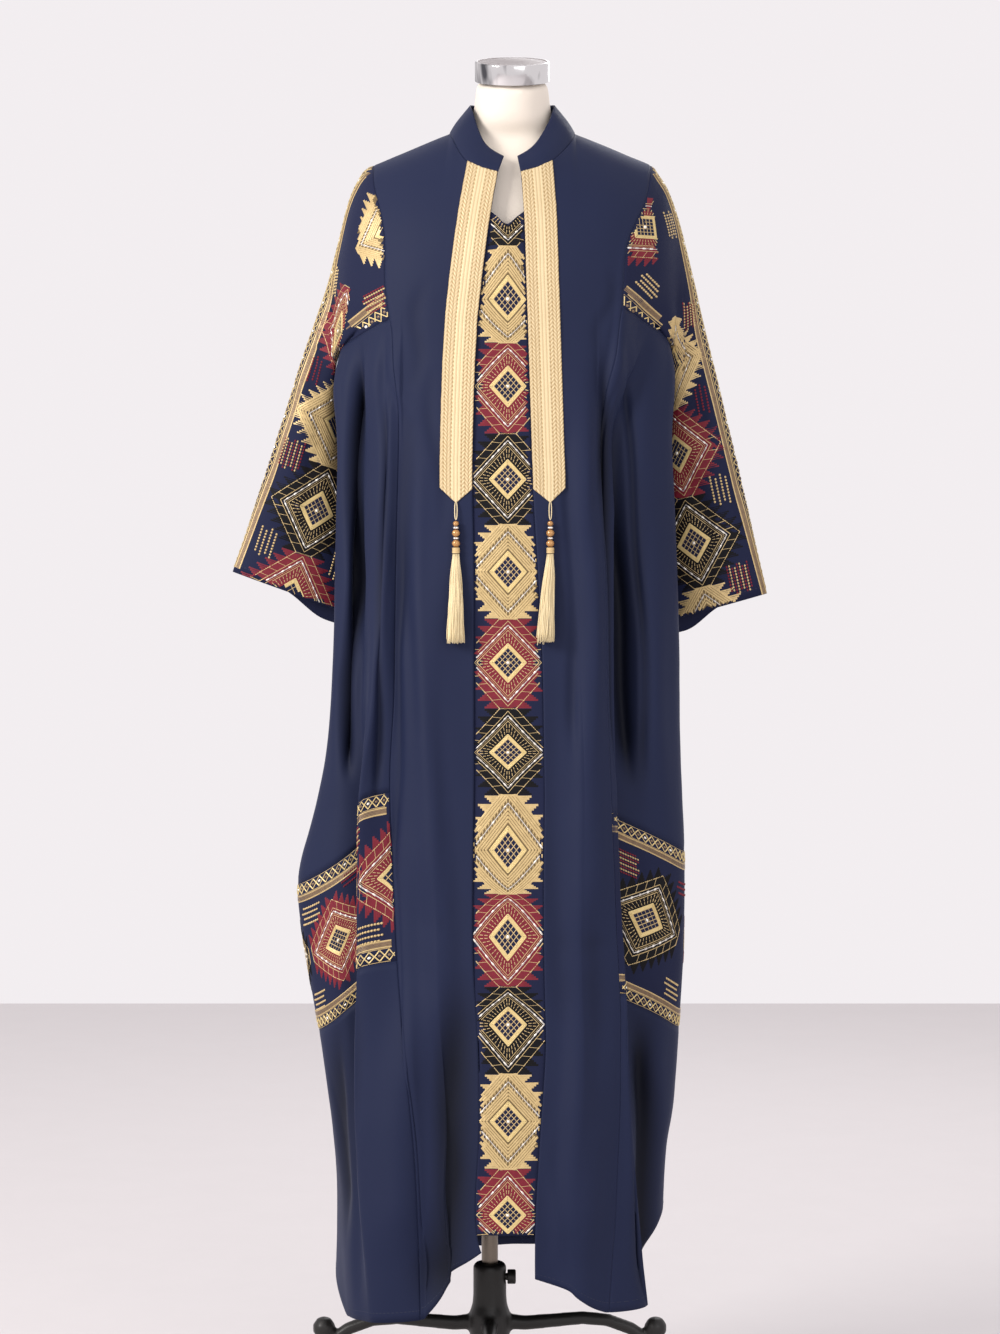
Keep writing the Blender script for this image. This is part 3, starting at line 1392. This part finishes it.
# %% Lay the braid
BRAID_EDGE = 0.0003         # the fine band is this much narrower at each side
OVER_CLOTH = 0.0016         # the band's face lies at least this far before the cloth
EASED = 0.0004              # most that the band goes back in each round of smoothing
FACE_BACK = 0.0004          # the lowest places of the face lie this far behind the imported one
BAND_LEVELS, SLOPE_LEVELS = 60, 6   # heights at which the width is read, and those that give its slope
READ_FROM, READ_TO = 0.02, 0.03     # they keep clear of the band's top and of its pointed foot
LOOK_STEP, LOOK_PAST = 0.0004, 0.0005
END_LOOKS, ROUNDS = 900, 60         # looks for the band's ends, and rounds of smoothing
for side in ("left", "right"):
    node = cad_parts["braid_" + side].data
    low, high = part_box("braid_" + side)
    tree = BVHTree.FromPolygons([v.co for v in node.vertices], [tuple(p.vertices) for p in node.polygons])
    cloth = surfaces["front_" + side]
    cloth_tree = BVHTree.FromPolygons(cloth.points, cloth.triangles)
    levels = np.linspace(high[2] - READ_FROM, low[2] + READ_TO, BAND_LEVELS)
    across = np.arange(low[0] - LOOK_PAST, high[0] + LOOK_PAST, LOOK_STEP)
    spans = [[x for x in across if ray_front(tree, x, z) is not None] for z in levels]
    edges = [[end(span) for span in spans] for end in (min, max)]

    def x_at(share, z):
        """Across at a share of the band's width, its edges run on straight past its upper end."""
        left, right = [np.interp(z, levels[::-1], edge[::-1]) + max(0, z - levels[0])
                       * (edge[0] - edge[SLOPE_LEVELS]) / (levels[0] - levels[SLOPE_LEVELS])
                       for edge in edges]
        return left + BRAID_EDGE + (right - left - 2 * BRAID_EDGE) * share

    steps = round((high[2] - low[2]) / BRAID_STEP)
    fine = np.linspace(high[2], low[2], END_LOOKS)
    grid = np.empty((steps + 1, BRAID_COLUMNS + 1, 3))
    for j in range(BRAID_COLUMNS + 1):
        share = j / BRAID_COLUMNS
        on = [z for z in fine if ray_front(tree, x_at(share, z), z) is not None]
        for k in range(steps + 1):
            z = max(on) + (min(on) - max(on)) * k / steps
            x = x_at(share, z)
            over = [y for y in (ray_front(tree, x, z), ray_front(cloth_tree, x, z)) if y is not None]
            over[1:] = [y - OVER_CLOTH for y in over[1:]]
            grid[k, j] = x, min(over), z
    for _ in range(ROUNDS):
        soft = grid[:, :, 1].copy()
        soft[1:-1] = (soft[:-2] + 2 * soft[1:-1] + soft[2:]) / 4
        soft[:, 1:-1] = (soft[:, :-2] + 2 * soft[:, 1:-1] + soft[:, 2:]) / 4
        grid[:, :, 1] = np.minimum(soft, grid[:, :, 1] + EASED)
    spots = [(j / BRAID_COLUMNS, z) for line in grid for j, z in enumerate(line[:, 2])]
    heights = np.array([braid_height(*spot) for spot in spots])
    grid[:, :, 1] += FACE_BACK - heights.reshape(grid.shape[:2])
    row = grid.shape[1]
    faces = [(a, a + row, a + row + 1, a + 1) for k in range(steps)
             for a in range(k * row, (k + 1) * row - 1)]
    braid = figure_piece(f"braid_{side}_band", grid.reshape(-1, 3), faces, gold_braid,
                         "braid_" + side)
    keep_numbers(braid.data, "relief", heights / BRAID_TOP)
    keep_map(braid.data, [spots[k] for face in faces for k in face])
    apply(braid, "SOLIDIFY", thickness=BRAID_WALL, offset=-1)
    pieces["braid_" + side] = braid
    print(braid.name, len(braid.data.polygons), "faces")

# %% [markdown]
# A tassel hangs from the point of each band: a loop of thread, glass beads with silver washers
# between, a bound knot, and a skirt of silk strands that spreads a little and is cut unevenly. The
# beads, washers and knots are turned shapes, so each starts as a primitive at its size and place.

# %% Turned pieces and their finishes
SHARP = math.radians(40)    # edges sharper than this stay sharp


def turned(name, kind, settings, material):
    """A bpy.ops primitive at its size and place."""
    bpy.ops.object.select_all(action="DESELECT")
    getattr(bpy.ops.mesh, f"primitive_{kind}_add")(**settings)
    ob = bpy.context.active_object
    ob.name = name
    ob.data.materials.append(material)
    return ob


def shade(ob):
    """Puts a piece's place into its mesh, and shades it smooth but for its sharp edges."""
    bpy.ops.object.select_all(action="DESELECT")
    ob.select_set(True)
    bpy.context.view_layer.objects.active = ob
    bpy.ops.object.transform_apply(location=True, rotation=True, scale=True)
    bpy.ops.object.shade_smooth_by_angle(angle=SHARP)


def plain(name, colour, rough, metallic=0.0, grain=300.0, strength=0.15, spread=0.12, **constants):
    """A finish of one colour, a little darker and lighter in specks and broad areas."""
    finish = Finish(name, Metallic=metallic, **constants)
    speck = finish.noise(grain, 3.0)
    broad = finish.noise(9.0, 2.0)
    darker, lighter = [tuple(min(1, c * (1 + way * spread)) for c in colour[:3]) + (1,) for way in (-1, 1)]
    finish.set("Base Color", finish.mixed(broad * 0.5 + speck * 0.5, darker, lighter))
    finish.set("Roughness", speck * 0.15 + (rough - 0.07))
    finish.bump(speck, strength, 0.0004)
    return finish.material


amber_glass = plain("amber bead", (0.48, 0.24, 0.075, 1), 0.16, 0.35, 500.0, 0.08, 0.3, Coat_Weight=0.6)
silver_metal = plain("silver washer", (0.78, 0.75, 0.70, 1), 0.2, 1.0, 700.0, 0.3)
silk = plain("tassel silk", (0.80, 0.62, 0.36, 1), 0.40, 0.0, 900.0, 0.5, 0.35, Sheen_Weight=0.3)
knot_silk = plain("knot silk", (0.62, 0.45, 0.22, 1), 0.45, 0.05, 900.0, 0.5, 0.35)
print("tassel finishes ready")

# %% [markdown]
# A skirt of silk could be one fluted cone, but its strands catch the light one by one. So each strand
# is a thin tube from the knot to the foot, with its own wave and length from a seeded draw.

# %% Strands of silk
STRANDS, STRAND_SIDES, STRAND_RINGS = 190, 5, 12
GOLDEN_TURN = 2.39996       # from one strand to the next, so that they fill the skirt evenly
FOOT_IN, TOP_IN = 0.0006, 0.0004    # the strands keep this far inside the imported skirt
FOOT_BAND, HEAD_BAND = 0.004, 0.0075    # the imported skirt's points in these heights give its two ends
HEAD_SHARE = 0.82           # the strands start within this share of its head
BULGE = 0.10
UNEVEN = (-0.0015, 0.0045)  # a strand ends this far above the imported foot
LONGER, FEW = 0.004, 0.04   # and a few, this share, hang further down
WAVE, STRAND_R = (0.0002, 0.0007), (0.00045, 0.00062)   # least and most of a wave and of a half thickness


def middle_and_half(places):
    """Middle and half width of some points, across and deep."""
    return (*places[:, :2].mean(axis=0), *((places.max(axis=0) - places.min(axis=0))[:2] / 2))


def strands(side):
    """The skirt of silk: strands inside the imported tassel's outline, each with its own wave and end."""
    draw = random.Random({"left": 11, "right": 12}[side])
    node = "tassel_" + side
    low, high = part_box(node)
    places = np.array([tuple(v.co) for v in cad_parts[node].data.vertices])
    foot = middle_and_half(places[places[:, 2] < low[2] + FOOT_BAND])
    head = middle_and_half(places[places[:, 2] > high[2] - HEAD_BAND])
    points, faces = [], []
    sides, rings = STRAND_SIDES, STRAND_RINGS
    for n in range(STRANDS):
        angle = n * GOLDEN_TURN
        share = math.sqrt((n + 0.5) / STRANDS) * draw.uniform(0.9, 1.0)
        end = draw.uniform(*UNEVEN) - (LONGER if draw.random() < FEW else 0)
        wave, phase = draw.uniform(*WAVE), draw.uniform(0, 6.28)
        radius = draw.uniform(*STRAND_R)
        base = len(points)
        for k in range(rings + 1):
            t = k / rings
            grow = t ** 0.85
            cx, cy = [head[a] + (foot[a] - head[a]) * t for a in (0, 1)]
            rx, ry = [head[a] * HEAD_SHARE * (1 - grow) + (foot[a] - FOOT_IN) * grow for a in (2, 3)]
            bulge = 1 + BULGE * math.sin(math.pi * t)
            x = cx + rx * share * bulge * math.cos(angle) + wave * math.sin(phase + t * 9)
            y = cy + ry * share * math.sin(angle) + wave * math.cos(phase + t * 7)
            z = high[2] - TOP_IN + (low[2] + end - high[2]) * t
            r = radius * (0.75 if k in (0, rings) else 1.0)
            for m in range(sides):
                a = 2 * math.pi * m / sides
                points.append((x + r * math.cos(a), y + r * math.sin(a), z))
        for k in range(rings):
            for m in range(sides):
                q = (m + 1) % sides
                a, b = base + k * sides, base + (k + 1) * sides
                faces.append((a + m, b + m, b + q, a + q))
        faces.append(tuple(base + m for m in range(sides)))
        faces.append(tuple(base + rings * sides + m for m in reversed(range(sides))))
    piece = figure_piece(node + "_silk", points, faces, silk, node)
    print(piece.name, len(faces), "faces")


print("a skirt has", STRANDS, "strands")

# %% [markdown]
# A bead is a sphere drawn to its size, a washer is a flat cylinder with round edges, and the knot is
# one ring of thread, copied down in edit mode until the windings fill its height.

# %% Beads, washers and knots
COIL, COIL_STEP = 0.0011, 0.0019    # half thickness of the knot's thread, and from one turn to the next
for side in ("left", "right"):
    strands(side)
    small = [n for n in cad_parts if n.endswith(side) and n.startswith(("bead", "spacer", "knot"))]
    for node in sorted(small):
        low, high = (Vector(v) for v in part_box(node))
        middle, size = (low + high) / 2, high - low
        if node.startswith("bead"):
            ob = turned(node + "_glass", "uv_sphere",
                        dict(segments=28, ring_count=18, radius=0.5, location=middle), amber_glass)
            ob.scale = size
            shade(ob)
            declare(ob, "figure", node)
        elif node.startswith("spacer"):
            ob = turned(node + "_washer", "cylinder", dict(vertices=28, radius=0.5, depth=1, location=middle),
                        silver_metal)
            ob.scale = size
            shade(ob)
            declare(ob, "figure", node)
            apply(ob, "BEVEL", width=size.z * 0.35, segments=3)
        else:
            ob = turned(node + "_bound", "torus",
                        dict(major_segments=36, minor_segments=10, major_radius=size.x / 2 - COIL,
                             minor_radius=COIL, location=middle), knot_silk)
            bpy.ops.object.mode_set(mode="EDIT")
            bpy.ops.mesh.select_all(action="SELECT")
            turns = max(3, round(size.z / COIL_STEP))
            bpy.ops.transform.translate(value=(0, 0, -size.z / 2 + COIL))
            for _ in range(turns - 1):
                bpy.ops.mesh.duplicate()
                bpy.ops.transform.translate(value=(0, 0, (size.z - 2 * COIL) / (turns - 1)))
            bpy.ops.object.mode_set(mode="OBJECT")
            shade(ob)
            declare(ob, "figure", node)
    print(side, "tassel has", len(small), "small pieces")

# %% [markdown]
# The rest of the figure: the cream form shows at the neck, and a brownish steel pole stands in a black
# cast-iron base. Castings have soft edges and a pebbled skin, so the base is remeshed from its solid
# and smoothed. Hard turned parts keep their solid and get small bevels.

# %% Form and stand
def copied(node, name, material, bm=None):
    """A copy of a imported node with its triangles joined, or of its bmesh once it has been changed."""
    bm = bm or joined(node)
    ob = place_object(name, bpy.data.meshes.new(name))
    bm.to_mesh(ob.data)
    bm.free()
    ob.data.materials.append(material)
    return ob


def remade(node, name, voxel, rounds, body, material):
    """A smooth copy of a node, remeshed and relaxed, which stands for it."""
    ob = copied(node, name, material)
    apply(ob, "REMESH", mode="VOXEL", voxel_size=voxel)
    apply(ob, "SMOOTH", factor=0.5, iterations=rounds)
    ob.data.shade_smooth()
    declare(ob, body, node)
    print(name, len(ob.data.polygons), "faces")


def finer(node, name, material, body, bevel=0.0, levels=0):
    """A copy of a hard node with flat faces joined and softened edges, which stands for it."""
    bm = joined(node)
    bmesh.ops.dissolve_limit(bm, angle_limit=math.radians(1), verts=bm.verts, edges=bm.edges)
    ob = copied(node, name, material, bm)
    if bevel:
        apply(ob, "BEVEL", width=bevel, segments=3, limit_method="ANGLE", angle_limit=SHARP)
    if levels:
        apply(ob, "SUBSURF", levels=levels, render_levels=levels)
    shade(ob)
    declare(ob, body, node)


cream_jersey = plain("cream jersey", (0.84, 0.76, 0.66, 1), 0.7, grain=1100.0, strength=0.25, spread=0.06,
                     Specular_IOR_Level=0.25)
brown_steel = plain("brown steel", (0.22, 0.185, 0.15, 1), 0.36, 0.85, grain=500.0, strength=0.12, spread=0.3)
cast_iron = plain("black cast iron", (0.013, 0.012, 0.011, 1), 0.42, 0.2, grain=420.0, strength=0.6,
                  spread=0.35)
remade("form_torso", "form_jersey", 0.006, 22, "figure", cream_jersey)
remade("base", "base_casting", 0.0024, 6, "stand", cast_iron)
finer("pole", "pole_tube", brown_steel, "post", 0.0006)
finer("clamp_screw", "clamp_screw_turned", cast_iron, "screw", 0.0005)
for side in ("left", "right"):
    finer("tassel_loop_" + side, f"tassel_loop_{side}_thread", silk, "figure", levels=2)
print("form and stand finished")

# %% [markdown]
# The neck cap is a polished ring that leans forward with the neck, with a flat grey top. A turned
# cylinder is enough for its body, and a few insets, each raised or lowered a little, make the rim, the
# groove and the slightly crowned top.

# %% The neck cap
CAP_R, CAP_DEEP, CAP_LEAN = 0.0466, 0.0238, math.radians(17)
CAP_STEPS = ((0.0024, 0.0010), (0.0012, -0.0012), (0.020, 0.0030), (0.012, 0.0014))     # inset, rise
RIM = 0.003                 # the grey top ends this far inside the cap's edge
neck_top = Vector((0.0152, -0.0270, 1.7235))
axis = Vector((0, -math.sin(CAP_LEAN), math.cos(CAP_LEAN)))


def chrome_finish():
    """Chrome with the dark and light streaks of a room in it."""
    finish = Finish("polished chrome", Metallic=1.0)
    streak = finish.noise(26.0, 3.0, 0.6, stretch=(1, 1, 0.25))
    stops = ((0.40, (0.10, 0.10, 0.11, 1)), (0.52, (0.72, 0.71, 0.71, 1)))
    finish.set("Base Color", finish.node("ShaderNodeValToRGB", {"stops": stops}, {"Fac": streak}))
    finish.set("Roughness", streak * 0.14 + 0.05)
    return finish.material


cap = turned("neck_cap_turned", "cylinder",
             dict(vertices=96, radius=CAP_R, depth=CAP_DEEP, rotation=(CAP_LEAN, 0, 0),
                  location=neck_top + axis * CAP_DEEP / 2), chrome_finish())
cap.data.materials.append(plain("cap top", (0.30, 0.27, 0.27, 1), 0.45, 0.4, grain=240.0, strength=0.1,
                                spread=0.2))
bpy.ops.object.mode_set(mode="EDIT")
bpy.ops.mesh.select_all(action="DESELECT")
cap_faces = bmesh.from_edit_mesh(cap.data)
for face in cap_faces.faces:
    face.select_set(face.normal.z > 0.9)
cap_faces.select_flush(True)
bmesh.update_edit_mesh(cap.data)
for inset, rise in CAP_STEPS:
    bpy.ops.mesh.inset(thickness=inset)
    bpy.ops.transform.translate(value=axis * rise)
bpy.ops.object.mode_set(mode="OBJECT")
for polygon in cap.data.polygons:
    if polygon.normal.z > 0.5 and polygon.center.xy.length < CAP_R - RIM:
        polygon.material_index = 1
apply(cap, "BEVEL", width=0.0007, segments=3, limit_method="ANGLE", angle_limit=math.radians(50))
shade(cap)
declare(cap, "figure", "neck_cap")
print("cap has", len(cap.data.polygons), "faces")

# %% [markdown]
# Every piece of cloth is declared with the size it was cut to: width and length of the rectangle it
# comes from, and its own area where the cut isn't a rectangle.

# %% Flat sizes
FLAT = {
    # piece: width, length, area where it isn't a rectangle
    "front_left": (0.125, 1.45, 0.154), "front_right": (0.126, 1.44, 0.156), "back": (0.33, 1.45, 0.464),
    "side_upper_left": (0.33, 0.62, 0.198), "side_band_left": (0.34, 0.22, None),
    "side_lower_left": (0.34, 0.33, 0.100), "side_upper_right": (0.34, 0.63, 0.205),
    "side_band_right": (0.43, 0.20, 0.077), "side_lower_right": (0.39, 0.38, 0.139),
    "sleeve_left": (0.50, 0.58, 0.131), "sleeve_right": (0.51, 0.56, 0.129), "collar": (0.47, 0.038, None),
    "centre_insert": (0.13, 1.26, 0.148), "braid_left": (BRAID_WIDTH, 0.46, None),
    "braid_right": (BRAID_WIDTH, 0.46, None),
}
for name, (wide, long, area) in FLAT.items():
    if name.startswith("braid"):
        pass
    else:
        print("flat", name, *(round(v, 3) for v in (*surfaces[name].reach(), surfaces[name].area())))

# %% [markdown]
# A plain pale floor stands in for the studio. It belongs to the picture, not to the garment.

# %% Floor
bpy.ops.object.select_all(action="DESELECT")
bpy.ops.mesh.primitive_plane_add(size=8, location=(0, 0, -0.0005))
floor = bpy.context.active_object
floor.name = "floor"
floor.data.materials.append(plain("pale floor", (0.66, 0.63, 0.635, 1), 0.8, grain=40.0, strength=0.05,
                                  spread=0.03))
print("floor", floor.dimensions.x, "m wide")

# %% [markdown]
# Last come the counts: how fine the pieces are, and the box of the whole beside that of the solids.

# %% Sizes and finish
counted = {ob.name: sum(len(p.vertices) - 2 for p in ob.data.polygons) for ob in bpy.data.objects
           if ob.type == "MESH" and ob.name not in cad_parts}
most = sorted(((v, k) for k, v in counted.items()), reverse=True)[:4]
print("triangles", sum(counted.values()), "most", most)
